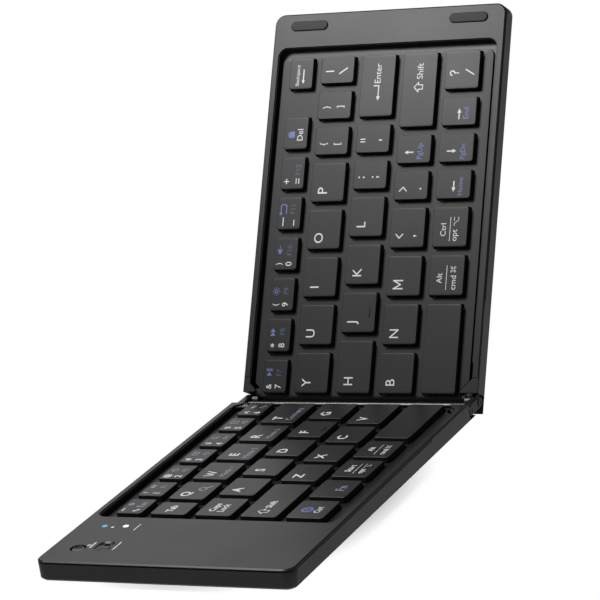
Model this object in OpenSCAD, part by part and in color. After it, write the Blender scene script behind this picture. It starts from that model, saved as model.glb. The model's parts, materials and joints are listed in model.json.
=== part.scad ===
// Folding keyboard: a key half and a raised key half on a spine with two parallel pins.
// X runs along the keys, Y towards the number row, Z up.
// Z = 0 is the desk, and X = 0 is the middle of the space that the opened keyboard takes.

/* [Body] */
// thickness of each half without its feet
half_t = 7.2; // [6.8:0.1:7.4]
// radius of the outer corners
corner_r = 4; // [2:0.5:6]
// width of the rim beside the keys
rim_w = 2.7; // [2.2:0.1:3]
// width of the end strip of the base, with the lamps and switches
base_strip = 38.2; // [37:0.2:39]
// width of the end strip of the lid, with the bumpers
lid_strip = 13.4; // [12:0.2:14]
// thickness of the top plate of each half
plate_t = 1; // [0.8:0.1:1.2]
// thickness of the floor of each half
floor_t = 0.9; // [0.8:0.1:1]
// thickness of the side walls
wall_t = 1.2; // [1:0.1:1.4]
// thickness of the outer edge of the top plate
edge_t = 0.5; // [0.4:0.1:0.6]
// height of the dark seam under that edge
seam_h = 0.6; // [0.5:0.1:0.7]
// distance from the pin at which the seam stops
seam_from = 35.7; // [30:0.1:45]
// bevel along the lower edges
bevel = 1; // [0.6:0.1:1.2]
// height of the rubber feet
foot_h = 1.5; // [1.2:0.1:2]

/* [Hinge] */
// angle by which the lid is raised from the flat position
lid_raise = 59.3; // [0:0.1:80]
// distance between the two pins
link_len = 8.4; // [8.2:0.1:8.8]
// radius of the links and knuckles
knuckle_r = 2.1; // [1.8:0.1:2.2]
// radius of the pins
pin_r = 1; // [0.8:0.1:1.2]
// radius of the heads of the pins
pin_head_r = 1.7; // [1.4:0.1:1.8]
// radius of the bar between the links
bar_r = 1.3; // [1:0.1:1.4]
// how far the floor of the base reaches past its pin
base_lip = 2.8; // [2:0.1:3]
// how far the floor of the lid reaches past its pin
lid_lip = 3.9; // [3.4:0.1:4]
// distance from the pin at which the rims and side walls start
rim_start = 2.6; // [2.6:0.1:3]

/* [Keys] */
// pitch of the letter keys
letter_pitch = 18; // [17.5:0.1:19]
// pitch of the narrow mark keys
mark_pitch = 13.75; // [13.5:0.05:14.5]
// space between neighbouring keys in a row
key_gap = 3.05; // [2.9:0.05:3.4]
// depth of a key in the letter rows
key_d = 13.75; // [13:0.05:15]
// depth of a key in the number row
number_d = 9.75; // [9.4:0.05:11]
// space between two letter rows
row_gap = 3.25; // [3:0.05:4]
// space between the number row and the top letter row
number_gap = 3.3; // [3:0.1:4]
// distance from the number row to the side of the body
back_gap = 7.85; // [7.6:0.05:9]
// distance from the space bar row to the side of the body
front_gap = 8.95; // [8.5:0.05:11]
// distance from the pin to the first keys
key_start = 2.4; // [2.3:0.1:2.6]
// distance from the last keys to the end strip
end_gap = 4.1; // [3.8:0.1:6]
// length of the tab key
tab_len = 10.4; // [9.8:0.1:12]
// length of the backspace key
backspace_len = 11.9; // [10:0.1:13]
// length of the slash key
slash_len = 14.45; // [13:0.05:15]
// depth of the key tops below the top plate
cap_drop = 0.4; // [0.3:0.1:0.5]
// thickness of a keycap
cap_t = 2.4; // [2.2:0.1:2.5]
// how far a key goes down
key_travel = 1.2; // [0.8:0.1:1.2]
// depth of the key plate below the top plate
deck_drop = 2.5; // [2.3:0.1:2.6]
// thickness of the key plate
deck_t = 0.8; // [0.6:0.1:0.9]
// clearance around a key in the key plate
cap_fit = 0.35; // [0.3:0.05:0.45]

/* [Controls] */
// radius of the hole of the pairing button
button_hole_r = 2.4; // [2.2:0.1:2.6]
// travel of the pairing button
button_travel = 0.4; // [0.2:0.05:0.4]
// travel of the power slide
slide_travel = 3; // [2:0.1:3.2]
// radius of the lamp windows
lamp_r = 1; // [0.7:0.1:1.1]
// length of the oval bumpers on the lid
bumper_l = 15.3; // [12:0.1:17]
// width of the oval bumpers on the lid
bumper_w = 3.7; // [3:0.1:4.5]
// height of the bumpers above the lid
bumper_h = 0.9; // [0.5:0.1:0.9]

/* [Hidden] */
part_color = "#2b2c2e";
dark_color = "#161719";
metal_color = "#b9bcc0";
$fn = 48;
row_pitch = key_d + row_gap;
body_w = back_gap + number_d + number_gap + 4 * key_d + 3 * row_gap + front_gap;
half_w = body_w / 2;
letter_len = letter_pitch - key_gap;
mark_len = mark_pitch - key_gap;
wide_len = letter_len + letter_pitch / 4;
stagger = wide_len + key_gap;
base_field = stagger + 4 * letter_pitch + tab_len;
lid_field = 4 * letter_pitch + 3 * mark_pitch + slash_len;
number_pitch = (base_field + key_gap) / 7;
number_len = number_pitch - key_gap;
space_len = 2 * letter_pitch - key_gap;
base_end = key_start + base_field;
lid_end = key_start + lid_field;
base_len = base_end + end_gap + base_strip;
lid_len = lid_end + end_gap + lid_strip;
face_z = half_t / 2;
under_z = -half_t / 2;
floor_z = under_z + floor_t;
plate_z = face_z - plate_t;
seam_z = face_z - edge_t - seam_h;
seam_d = 0.5;
deck_top = face_z - deck_drop;
deck_z = deck_top - deck_t;
cap_top = face_z - cap_drop;
cap_z = cap_top - cap_t;
cap_skin = 0.8;
cap_wall = 0.9;
dome_h = 0.6;
sheet_t = 0.3;
back_t = 0.5;
sheet_top = cap_z - key_travel - 0.1 - dome_h;
sheet_z = sheet_top - sheet_t;
back_z = sheet_z - back_t;
pin_z = foot_h + half_t / 2;
lid_reach = (lid_len - bevel) * cos(lid_raise) + half_t / 2 * sin(lid_raise);
base_pin_x = (base_len - link_len - lid_reach) / 2;
lid_pin_x = base_pin_x + link_len;
rim_in = half_w - rim_w;
opening_r = 3.5;
number_y = half_w - back_gap - number_d / 2;
letter_y = number_y - number_d / 2 - number_gap - key_d / 2;
deck_margin = 1.5;
deck_start = key_start - 1.2;
deck_back = half_w - 3.6;
deck_front = half_w - 4.6;
deck_corner_r = 2.5;
deck_cut = 2.2;
deck_cut_x = deck_start + 3.1;
pad_gap = 0.8;
sheet_half = half_w - 6.3;
skirt_t = 0.8;
ledge_t = 0.8;
link_t = 2.8;
knuckle_t = 2.2;
washer_t = 0.2;
link_out = half_w - 0.4;
link_in = link_out - link_t;
knuckle_out = link_in - washer_t;
knuckle_in = knuckle_out - knuckle_t;
pin_fit = 0.05;
pin_head_h = 0.3;
leaf_t = 0.8;
leaf_len = 13.5;
leaf_w = half_w - wall_t - 0.2 - knuckle_in;
leaf_screws = [leaf_len - 7, leaf_len - 2.5];
leaf_screw_y = knuckle_in + leaf_w / 2;
board_t = 0.8;
board_top = plate_z - 2.9;
board_x = base_len - base_strip + skirt_t + 0.3;
board_fit = 0.9;
board_edge = 2;
battery_t = 3.6;
battery_edge = 7.5;
button_at = [base_len - 11.5, half_w - 10.6];
button_fit = 0.3;
button_rim = 0.7;
button_z = plate_z - 1.4;
slide_at = [base_len - 13.7, half_w - 19.4];
slide_l = 4;
slide_w = 4.6;
slide_t = 0.35;
slide_stem = [1.8, 1.6];
slide_fit = 0.3;
slide_room = [slide_l + slide_travel + 0.8, slide_w + 1];
slide_cut = [slide_stem[0] + slide_travel + 2 * slide_fit, slide_stem[1] + 2 * slide_fit];
slide_sunk = 0.5;
switch_h = 2.4;
lamps_at = [[base_len - 30, half_w - 10.6], [base_len - 30.5, half_w - 18.4]];
port_x = base_len - 21;
port_w = 7.6;
port_h = 2.4;
port_d = 5.6;
port_fit = 0.3;
foot_l = 11;
foot_w = 6;
foot_y = half_w - 13.5;
bumper_y = half_w - 14.7;
bumper_x = lid_len - 4.9;
bumper_sunk = 0.4;
screw_r = 0.7;
screw_head_r = 1.3;
screw_head_h = 0.5;
edge_cut = 0.3;
cap_corner_r = 0.8;
post_r = 1.8;
post_y = half_w - 4.5;
post_edge = 5.4;
lid_post_edge = 8.2;
base_post_x = base_len - post_edge;
lid_post_x = lid_len - lid_post_edge;
base_posts = [[base_post_x, -post_y], [base_post_x, post_y], [board_x + post_edge / 2, -post_y]];
lid_posts = [[lid_post_x, -post_y], [lid_post_x, 0], [lid_post_x, post_y]];
eps = 0.01;

// Each key spot: group, row counted from the number row, distance from the first keys, length.
function run(group, row, start, pitch, len, last, first = 0) =
    [for (i = [first:last]) [group, row, start + i * pitch, len]];

function to_end(group, row, start, field) = [[group, row, start, field - start]];

base_spots = concat(
    run("numbers", 0, 0, number_pitch, number_len, 6),
    run("letters_top", 1, 0, 0, wide_len, 0),
    run("letters_top", 1, stagger, letter_pitch, letter_len, 3),
    to_end("tab", 1, stagger + 4 * letter_pitch, base_field),
    run("letters_home", 2, 0, letter_pitch, letter_len, 4),
    to_end("caps_lock", 2, 5 * letter_pitch, base_field),
    run("letters_low", 3, 0, 0, wide_len, 0),
    run("letters_low", 3, stagger, letter_pitch, letter_len, 2),
    to_end("shift", 3, stagger + 3 * letter_pitch, base_field),
    run("space", 4, 0, 0, space_len, 0),
    run("control", 4, 0, letter_pitch, letter_len, 5, 2));

lid_spots = concat(
    run("numbers", 0, 0, number_pitch, number_len, 6),
    to_end("backspace", 0, lid_field - backspace_len, lid_field),
    run("letters_top", 1, 0, letter_pitch, letter_len, 4),
    run("brackets", 1, 5 * letter_pitch, mark_pitch, mark_len, 1),
    to_end("brackets", 1, 5 * letter_pitch + 2 * mark_pitch, lid_field),
    run("letters_home", 2, 0, 0, wide_len, 0),
    run("letters_home", 2, stagger, letter_pitch, letter_len, 2),
    run("quotes", 2, stagger + 3 * letter_pitch, mark_pitch, mark_len, 1),
    to_end("enter", 2, stagger + 3 * letter_pitch + 2 * mark_pitch, lid_field),
    run("letters_low", 3, 0, letter_pitch, letter_len, 3),
    run("stop_up", 3, 4 * letter_pitch, mark_pitch, mark_len, 1),
    to_end("shift", 3, 4 * letter_pitch + 2 * mark_pitch, lid_field),
    run("space", 4, 0, 0, space_len, 0),
    run("alt", 4, 0, letter_pitch, letter_len, 3, 2),
    run("arrows", 4, 4 * letter_pitch, mark_pitch, mark_len, 2),
    to_end("slash", 4, 4 * letter_pitch + 3 * mark_pitch, lid_field));

function row_y(row) = row == 0 ? number_y : letter_y - (row - 1) * row_pitch;

function row_d(row) = row == 0 ? number_d : key_d;

// A half is drawn with its pin at the origin, +X towards its outer end and +Z towards its face.
module base_place() {
    translate([base_pin_x, 0, pin_z]) mirror([1, 0, 0]) children();
}

module lid_place() {
    translate([lid_pin_x, 0, pin_z]) rotate([0, -lid_raise, 0]) children();
}

module both_sides() {
    children();
    mirror([0, 1, 0]) children();
}

module box(x0, x1, y0, y1, z0, z1) {
    translate([x0, y0, z0]) cube([x1 - x0, y1 - y0, z1 - z0]);
}

module round_rect(w, d, r) {
    square([w - 2 * r, d], center = true);
    square([w, d - 2 * r], center = true);
    for (x = [-1, 1], y = [-1, 1]) {
        translate([x * (w / 2 - r), y * (d / 2 - r)]) circle(r);
    }
}

module slot(x, y, l, w, z0, z1) {
    translate([x, y, z0]) linear_extrude(z1 - z0) {
        square([w, l - w], center = true);
        translate([0, l / 2 - w / 2]) circle(w / 2);
        translate([0, w / 2 - l / 2]) circle(w / 2);
    }
}

// Strip of half width w from x0 to x1 with rounded corners at x1.
module rounded_end(x0, x1, w, r) {
    translate([x0, -w]) square([x1 - r - x0, 2 * w]);
    translate([x0, r - w]) square([x1 - x0, 2 * (w - r)]);
    for (y = [-1, 1]) {
        translate([x1 - r, y * (w - r)]) circle(r);
    }
}

// Outline of a half from x0 to its outer end, drawn in by the given amount.
module outline(x0, len, inset) {
    rounded_end(x0, len - inset, half_w - inset, corner_r - inset);
}

module opening(x0, x1, grow) {
    rounded_end(x0, x1 + grow, rim_in + grow, opening_r + grow);
}

module slab(x0, len, inset, z0, z1) {
    translate([0, 0, z0]) linear_extrude(z1 - z0) outline(x0, len, inset);
}

module screw_cut(x, y, top) {
    translate([x, y, under_z - eps]) cylinder(h = screw_head_h + eps, r = screw_head_r);
    translate([x, y, under_z]) cylinder(h = top - under_z, r = screw_r);
}

module bottom_cover(len, strip, lip, field_end, posts) {
    deck_end = field_end + deck_margin;
    inner = len - strip;
    difference() {
        union() {
            hull() {
                slab(-lip + bevel / 2, len, bevel, under_z, under_z + eps);
                slab(-lip, len, 0, floor_z - eps, floor_z);
            }
            difference() {
                slab(rim_start, len, 0, floor_z, plate_z);
                slab(rim_start - 1, len, wall_t, floor_z - 1, plate_z + 1);
            }
            box(deck_start, deck_start + 1, -sheet_half, sheet_half, floor_z, deck_z);
            box(deck_end - 1, deck_end, -half_w + wall_t, half_w - wall_t, floor_z, deck_z);
            box(deck_end - 1, inner + skirt_t, -half_w + wall_t, half_w - wall_t, deck_z - ledge_t, deck_z);
            box(leaf_len + 1, deck_end, deck_back - 1.3, half_w - wall_t, floor_z, deck_z);
            box(leaf_len + 1, deck_end, -half_w + wall_t, 1.3 - deck_front, floor_z, deck_z);
            for (row = [-2:2]) {
                box(deck_start + 1, deck_end - 1, row * row_pitch - 0.5, row * row_pitch + 0.5, floor_z,
                    back_z);
            }
        }
        difference() {
            slab(seam_from, len + 1, -1, seam_z, plate_z + eps);
            slab(seam_from - 1, len, seam_d, 0, plate_z + 1);
        }
        for (p = posts) {
            screw_cut(p[0], p[1], floor_z + eps);
        }
        for (x = leaf_screws, y = [-leaf_screw_y, leaf_screw_y]) {
            screw_cut(x, y, floor_z + eps);
        }
    }
}

// Corner of the top plate beside the hinge, which keeps its distance from the slanted key plate.
module frame_pad(deck_y, cut) {
    inner = deck_y - cut + pad_gap;
    slant = rim_in + eps - inner;
    x = deck_cut_x - 0.7;
    translate([0, 0, plate_z]) linear_extrude(plate_t)
        polygon([[rim_start, inner], [x, inner], [x + slant, rim_in + eps], [x + slant, half_w - 1],
            [rim_start, half_w - 1]]);
}

module top_frame(len, strip, posts) {
    inner = len - strip;
    difference() {
        union() {
            difference() {
                hull() {
                    slab(rim_start, len, 0, plate_z, face_z - edge_cut);
                    slab(rim_start, len, edge_cut, face_z - eps, face_z);
                }
                translate([0, 0, plate_z - 1]) linear_extrude(plate_t + 2) opening(rim_start - 1, inner, 0);
            }
            frame_pad(deck_back, deck_cut);
            mirror([0, 1, 0]) frame_pad(deck_front, deck_cut + 1);
            translate([0, 0, deck_z]) linear_extrude(plate_z + eps - deck_z) difference() {
                opening(leaf_len + 1, inner, skirt_t);
                opening(leaf_len, inner, 0);
            }
            for (p = posts) {
                translate([p[0], p[1], floor_z]) cylinder(h = plate_z - floor_z + eps, r = post_r);
            }
        }
        difference() {
            slab(seam_from, len + 1, -1, plate_z - eps, face_z - edge_t);
            slab(seam_from - 1, len, seam_d, 0, face_z);
        }
        for (p = posts) {
            translate([p[0], p[1], floor_z - eps]) cylinder(h = 3, r = screw_r);
        }
    }
}

module key_plate(field_end, spots) {
    deck_end = field_end + deck_margin;
    r = deck_corner_r;
    back_in = deck_back - deck_cut;
    front_in = deck_front - deck_cut - 1;
    difference() {
        translate([0, 0, deck_z]) linear_extrude(deck_t) {
            polygon([[deck_start, -front_in], [deck_cut_x, -front_in], [deck_cut_x + deck_cut + 1, -deck_front],
                [deck_end - r, -deck_front], [deck_end - r, deck_back], [deck_cut_x + deck_cut, deck_back],
                [deck_cut_x, back_in], [deck_start, back_in]]);
            translate([deck_end - r - eps, r - deck_front]) square([r + eps, deck_back + deck_front - 2 * r]);
            translate([deck_end - r, r - deck_front]) circle(r);
            translate([deck_end - r, deck_back - r]) circle(r);
        }
        for (s = spots) {
            translate([key_start + s[2] + s[3] / 2, row_y(s[1]), deck_z - 1]) linear_extrude(deck_t + 2)
                round_rect(s[3] + 2 * cap_fit, row_d(s[1]) + 2 * cap_fit, cap_corner_r + cap_fit / 2);
        }
    }
}

module switch_sheet(field_end) {
    box(deck_start + 1.2, field_end + deck_margin - 1.2, -sheet_half, sheet_half, sheet_z, sheet_top);
}

module back_plate(field_end) {
    box(deck_start + 1.2, field_end + deck_margin - 1.2, -sheet_half, sheet_half, back_z, sheet_z);
}

module domes(spots) {
    for (s = spots) {
        translate([key_start + s[2] + s[3] / 2, row_y(s[1]), sheet_top]) {
            cylinder(h = 0.25, r = 2.2);
            cylinder(h = dome_h, r = 1.6);
        }
    }
}

module scissors(spots) {
    for (s = spots) {
        l = min(s[3] - 2.5, 10.5);
        d = min(row_d(s[1]) - 2.5, 9);
        translate([key_start + s[2] + s[3] / 2, row_y(s[1]), sheet_top]) linear_extrude(0.5) difference() {
            square([l, d], center = true);
            square([l - 2.4, d - 2.4], center = true);
        }
    }
}

module keycap(len, d) {
    difference() {
        translate([0, 0, cap_z]) linear_extrude(cap_t) round_rect(len, d, cap_corner_r);
        translate([0, 0, cap_z - eps]) linear_extrude(cap_t - cap_skin + eps)
            square([len - 2 * cap_wall, d - 2 * cap_wall], center = true);
    }
    translate([0, 0, cap_z]) cylinder(h = cap_t - cap_skin / 2, r = 1.8);
}

module keys(spots, group) {
    for (s = spots) {
        if (s[0] == group) {
            translate([key_start + s[2] + s[3] / 2, row_y(s[1]), 0]) keycap(s[3], row_d(s[1]));
        }
    }
}

// Raised bar on the two keys on which the index fingers rest.
module home_bar(start) {
    translate([key_start + start + letter_len / 2, row_y(2) - key_d / 2 + 2.6, cap_top - eps])
        linear_extrude(0.25 + eps) square([3.6, 0.6], center = true);
}

module feet(len) {
    for (x = [10, len - 14], y = [-foot_y, foot_y]) {
        slot(x, y, foot_l, foot_w, under_z - foot_h, under_z);
    }
}

module screw(x, y, top) {
    difference() {
        union() {
            translate([x, y, under_z]) cylinder(h = screw_head_h, r = screw_head_r);
            translate([x, y, under_z]) cylinder(h = top - under_z, r = screw_r);
        }
        for (a = [0, 90]) {
            translate([x, y, under_z]) rotate(a) cube([1.4, 0.3, 0.5], center = true);
        }
    }
}

module screws(posts) {
    for (p = posts) {
        screw(p[0], p[1], floor_z + 2.5);
    }
    for (x = leaf_screws, y = [-leaf_screw_y, leaf_screw_y]) {
        screw(x, y, floor_z + leaf_t);
    }
}

module hinge_bracket() {
    rotate([-90, 0, 0]) difference() {
        union() {
            translate([0, 0, knuckle_in]) cylinder(h = knuckle_t, r = knuckle_r);
            translate([0, 0, knuckle_in]) cube([rim_start + 1.9, -floor_z, knuckle_t]);
            translate([rim_start, -floor_z - leaf_t, knuckle_in]) cube([leaf_len - rim_start, leaf_t, leaf_w]);
        }
        translate([0, 0, knuckle_in - 1]) cylinder(h = 5, r = pin_r + pin_fit);
        for (x = leaf_screws) {
            translate([x, -floor_z + 1, leaf_screw_y]) rotate([90, 0, 0]) cylinder(h = 3, r = screw_r);
        }
    }
}

// The spine lies level between the two pins.
module spine_place() {
    translate([base_pin_x, 0, pin_z]) rotate([-90, 0, 0]) children();
}

module base_bottom_cover() {
    color(part_color) base_place() difference() {
        bottom_cover(base_len, base_strip, base_lip, base_end, base_posts);
        box(port_x - port_w / 2 - port_fit, port_x + port_w / 2 + port_fit, half_w - wall_t - 1, half_w + 1,
            board_top - port_fit, plate_z + 1);
    }
}

module base_top_frame() {
    color(part_color) base_place() difference() {
        top_frame(base_len, base_strip, base_posts);
        translate([button_at[0], button_at[1], 0]) cylinder(h = 5, r = button_hole_r);
        translate([slide_at[0], slide_at[1], face_z - slide_sunk]) linear_extrude(1)
            round_rect(slide_room[0], slide_room[1], 2.2);
        translate([slide_at[0], slide_at[1], 0]) linear_extrude(5) square(slide_cut, center = true);
        for (p = lamps_at) {
            translate([p[0], p[1], 0]) cylinder(h = 5, r = lamp_r);
        }
    }
}

module base_key_plate() {
    color(part_color) base_place() key_plate(base_end, base_spots);
}

module base_switch_sheet() {
    color("#c8cfc4") base_place() switch_sheet(base_end);
}

module base_back_plate() {
    color(metal_color) base_place() back_plate(base_end);
}

module base_domes() {
    color("#dcdcd8") base_place() domes(base_spots);
}

module base_scissors() {
    color("#e4e4e0") base_place() scissors(base_spots);
}

module base_feet() {
    color(dark_color) base_place() feet(base_len);
}

module base_screws() {
    color(metal_color) base_place() screws(base_posts);
}

module base_hinge_brackets() {
    color(metal_color) base_place() both_sides() hinge_bracket();
}

module control_board() {
    color("#2c5a3c") base_place() difference() {
        box(board_x, base_len - wall_t - board_fit, board_edge, half_w - wall_t - board_fit,
            board_top - board_t, board_top);
        for (p = base_posts) {
            translate([p[0], p[1], -4]) cylinder(h = 8, r = post_r + 0.3);
        }
    }
}

module battery() {
    color("#8d9298") base_place()
        box(board_x + 0.3, base_len - wall_t - 1.4, battery_edge - half_w, -board_edge, floor_z,
            floor_z + battery_t);
}

module charge_port() {
    color(metal_color) base_place() difference() {
        translate([port_x, half_w - 0.3, board_top + port_h / 2]) rotate([90, 0, 0]) linear_extrude(port_d)
            round_rect(port_w, port_h, 0.6);
        translate([port_x, half_w, board_top + port_h / 2]) rotate([90, 0, 0]) linear_extrude(port_d - 0.6)
            round_rect(port_w - 0.6, port_h - 0.6, 0.4);
    }
}

module power_switch_body() {
    color(dark_color) base_place() difference() {
        translate([slide_at[0], slide_at[1], board_top]) linear_extrude(switch_h)
            square([slide_cut[0] + 2.8, slide_cut[1] + 1.8], center = true);
        translate([slide_at[0], slide_at[1], board_top + switch_h - 0.9]) linear_extrude(2)
            square(slide_cut, center = true);
    }
}

module power_slide() {
    stem_z = board_top + switch_h - 0.7;
    color(dark_color) base_place() translate([slide_at[0] + slide_travel / 2, slide_at[1], 0]) {
        translate([0, 0, face_z - slide_sunk + 0.05]) linear_extrude(slide_t) round_rect(slide_l, slide_w, 0.6);
        for (i = [-1:1]) {
            translate([i - 0.2, 0.5 - slide_w / 2, face_z - 0.2]) cube([0.4, slide_w - 1, 0.2]);
        }
        translate([-slide_stem[0] / 2, -slide_stem[1] / 2, stem_z])
            cube([slide_stem[0], slide_stem[1], face_z - 0.3 - stem_z]);
    }
}

module pair_button() {
    color(dark_color) base_place() translate([button_at[0], button_at[1], 0]) {
        translate([0, 0, button_z]) cylinder(h = face_z - 0.3 - button_z, r = button_hole_r - button_fit);
        translate([0, 0, button_z]) cylinder(h = 0.8, r = button_hole_r + button_rim - button_fit);
    }
}

module pair_switch_body() {
    color(metal_color) base_place() translate([button_at[0], button_at[1], board_top]) {
        linear_extrude(0.8) square([3.6, 3.6], center = true);
        cylinder(h = button_z - board_top - button_travel - 0.05, r = 1);
    }
}

module status_lamps() {
    color("#cfe0ff") base_place() for (p = lamps_at) {
        translate([p[0], p[1], board_top]) cylinder(h = face_z - board_top, r = lamp_r);
    }
}

module hinge_links() {
    color(metal_color) spine_place() both_links() difference() {
        translate([0, 0, link_in]) linear_extrude(link_out - link_in) {
            circle(knuckle_r);
            translate([link_len, 0]) circle(knuckle_r);
            translate([0, -knuckle_r]) square([link_len, 2 * knuckle_r]);
        }
        for (x = [0, link_len]) {
            translate([x, 0, link_in - 1]) cylinder(h = 5, r = pin_r);
        }
    }
}

module both_links() {
    children();
    mirror([0, 0, 1]) children();
}

module hinge_bar() {
    color(metal_color) spine_place()
        translate([link_len / 2, 0, -link_in]) cylinder(h = 2 * link_in, r = bar_r);
}

module hinge_pins() {
    color(metal_color) spine_place() both_links() for (x = [0, link_len]) {
        translate([x, 0, knuckle_in - 0.4]) cylinder(h = link_out + 0.4 - knuckle_in, r = pin_r);
        translate([x, 0, link_out]) cylinder(h = pin_head_h, r = pin_head_r);
    }
}

module hinge_washers() {
    color("#d8b45a") spine_place() both_links() for (x = [0, link_len]) {
        translate([x, 0, knuckle_out]) difference() {
            cylinder(h = link_in - knuckle_out, r = knuckle_r - 0.3);
            translate([0, 0, -1]) cylinder(h = 3, r = pin_r);
        }
    }
}

module lid_bottom_cover() {
    color(part_color) lid_place() bottom_cover(lid_len, lid_strip, lid_lip, lid_end, lid_posts);
}

module lid_top_frame() {
    color(part_color) lid_place() difference() {
        top_frame(lid_len, lid_strip, lid_posts);
        for (y = [-bumper_y, bumper_y]) {
            slot(bumper_x, y, bumper_l, bumper_w, face_z - bumper_sunk, face_z + 1);
        }
    }
}

module lid_key_plate() {
    color(part_color) lid_place() key_plate(lid_end, lid_spots);
}

module lid_switch_sheet() {
    color("#c8cfc4") lid_place() switch_sheet(lid_end);
}

module lid_back_plate() {
    color(metal_color) lid_place() back_plate(lid_end);
}

module lid_domes() {
    color("#dcdcd8") lid_place() domes(lid_spots);
}

module lid_scissors() {
    color("#e4e4e0") lid_place() scissors(lid_spots);
}

module lid_feet() {
    color(dark_color) lid_place() feet(lid_len);
}

module lid_screws() {
    color(metal_color) lid_place() screws(lid_posts);
}

module lid_hinge_brackets() {
    color(metal_color) lid_place() both_sides() hinge_bracket();
}

module lid_bumpers() {
    color(dark_color) lid_place() for (y = [-bumper_y, bumper_y]) {
        slot(bumper_x, y, bumper_l, bumper_w, face_z - bumper_sunk, face_z + bumper_h);
    }
}

module base_keys(group) {
    color(dark_color) base_place() keys(base_spots, group);
}

module lid_keys(group) {
    color(dark_color) lid_place() keys(lid_spots, group);
}

module base_keys_letters_home() {
    base_keys("letters_home");
    color(dark_color) base_place() home_bar(letter_pitch);
}

module lid_keys_letters_home() {
    lid_keys("letters_home");
    color(dark_color) lid_place() home_bar(stagger);
}

base_bottom_cover();
base_top_frame();
base_key_plate();
base_switch_sheet();
base_back_plate();
base_domes();
base_scissors();
base_feet();
base_screws();
base_hinge_brackets();
control_board();
battery();
charge_port();
power_switch_body();
power_slide();
pair_button();
pair_switch_body();
status_lamps();
hinge_links();
hinge_bar();
hinge_pins();
hinge_washers();
lid_bottom_cover();
lid_top_frame();
lid_key_plate();
lid_switch_sheet();
lid_back_plate();
lid_domes();
lid_scissors();
lid_feet();
lid_screws();
lid_hinge_brackets();
lid_bumpers();
base_keys("numbers");  // base_keys_numbers
base_keys("tab");  // base_key_tab
base_keys("letters_top");  // base_keys_letters_top
base_keys("caps_lock");  // base_key_caps_lock
base_keys_letters_home();
base_keys("shift");  // base_key_shift
base_keys("letters_low");  // base_keys_letters_low
base_keys("control");  // base_keys_control
base_keys("space");  // base_key_space
lid_keys("numbers");  // lid_keys_numbers
lid_keys("backspace");  // lid_key_backspace
lid_keys("letters_top");  // lid_keys_letters_top
lid_keys("brackets");  // lid_keys_brackets
lid_keys_letters_home();
lid_keys("quotes");  // lid_keys_quotes
lid_keys("enter");  // lid_key_enter
lid_keys("letters_low");  // lid_keys_letters_low
lid_keys("stop_up");  // lid_keys_stop_up
lid_keys("shift");  // lid_key_shift
lid_keys("space");  // lid_key_space
lid_keys("alt");  // lid_keys_alt
lid_keys("arrows");  // lid_keys_arrows
lid_keys("slash");  // lid_key_slash
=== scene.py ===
import json
import math

import bmesh
import bpy
from mathutils import Matrix, Vector


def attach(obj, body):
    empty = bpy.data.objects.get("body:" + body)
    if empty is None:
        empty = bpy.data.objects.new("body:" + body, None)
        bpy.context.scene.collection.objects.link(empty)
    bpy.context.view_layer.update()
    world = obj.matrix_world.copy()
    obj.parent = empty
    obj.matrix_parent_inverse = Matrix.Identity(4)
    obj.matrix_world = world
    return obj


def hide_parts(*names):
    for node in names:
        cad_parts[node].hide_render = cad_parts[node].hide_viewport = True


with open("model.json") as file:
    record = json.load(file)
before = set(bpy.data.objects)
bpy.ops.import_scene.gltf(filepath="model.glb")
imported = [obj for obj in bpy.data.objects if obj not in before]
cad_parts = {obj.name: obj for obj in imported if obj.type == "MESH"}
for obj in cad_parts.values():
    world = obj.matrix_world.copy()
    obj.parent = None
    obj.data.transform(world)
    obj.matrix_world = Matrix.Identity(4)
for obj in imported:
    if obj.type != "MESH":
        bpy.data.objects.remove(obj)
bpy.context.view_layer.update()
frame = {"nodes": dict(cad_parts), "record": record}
jointList = {joint["name"]: joint for joint in frame["record"]["behaviour"]["joints"]}
print("stage: frame loaded")


class Wire:
    # A socket that can stand in sums, products and comparisons. Each makes its own maths node.
    def __init__(self, graph, socket):
        self.graph = graph
        self.socket = socket

    def join(self, operation, first, second):
        made = self.graph.node("ShaderNodeMath", {0: first, 1: second}, operation=operation)
        return Wire(self.graph, made.outputs[0])

    def __add__(self, other):
        return self.join("ADD", self, other)

    def __radd__(self, other):
        return self.join("ADD", other, self)

    def __mul__(self, other):
        return self.join("MULTIPLY", self, other)

    def __rmul__(self, other):
        return self.join("MULTIPLY", other, self)

    def __gt__(self, other):
        return self.join("GREATER_THAN", self, other)


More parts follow.
